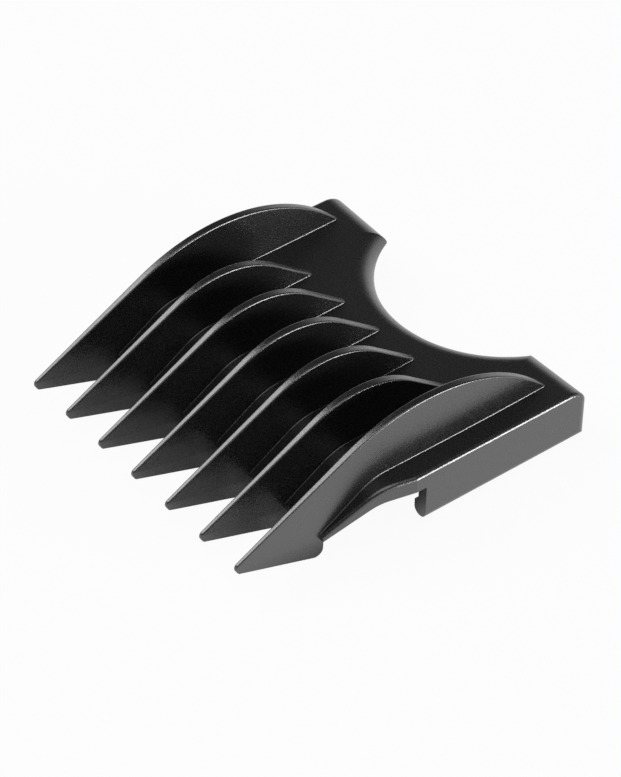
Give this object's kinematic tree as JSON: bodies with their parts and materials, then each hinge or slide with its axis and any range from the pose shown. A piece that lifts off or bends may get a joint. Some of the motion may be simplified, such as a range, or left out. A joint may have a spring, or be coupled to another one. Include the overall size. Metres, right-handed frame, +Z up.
{
  "type": "hair clipper guide comb",
  "caption": "Clip-on guide comb for a hair clipper: a notched deck with arched tines above it and two beaded side rails that snap around the blade.",
  "frame": {"origin": "on the underside of the deck, where the clipper blade is seated, on the centre line and level with the front ends of the side rails", "axes": "+Z up out of the deck towards the tine crowns, -Y forwards towards the tine tips, X across the comb"},
  "size_m": [0.05, 0.0531, 0.0172],
  "materials": {
    "black_plastic": "black injection-moulded plastic with a very fine satin grain"
  },
  "bodies": {
    "root": {"deck_plate": "black_plastic", "apron": "black_plastic", "horn_left": "black_plastic", "horn_right": "black_plastic", "rail_left": "black_plastic", "rail_right": "black_plastic", "bead_left": "black_plastic", "bead_right": "black_plastic", "tine_1_fin": "black_plastic", "tine_1_nose": "black_plastic", "tine_2_fin": "black_plastic", "tine_2_nose": "black_plastic", "tine_3_fin": "black_plastic", "tine_3_nose": "black_plastic", "tine_4_fin": "black_plastic", "tine_4_nose": "black_plastic", "tine_5_fin": "black_plastic", "tine_5_nose": "black_plastic", "tine_6_fin": "black_plastic", "tine_6_nose": "black_plastic", "tine_7_fin": "black_plastic", "tine_7_nose": "black_plastic"}
  },
  "joints": []
}
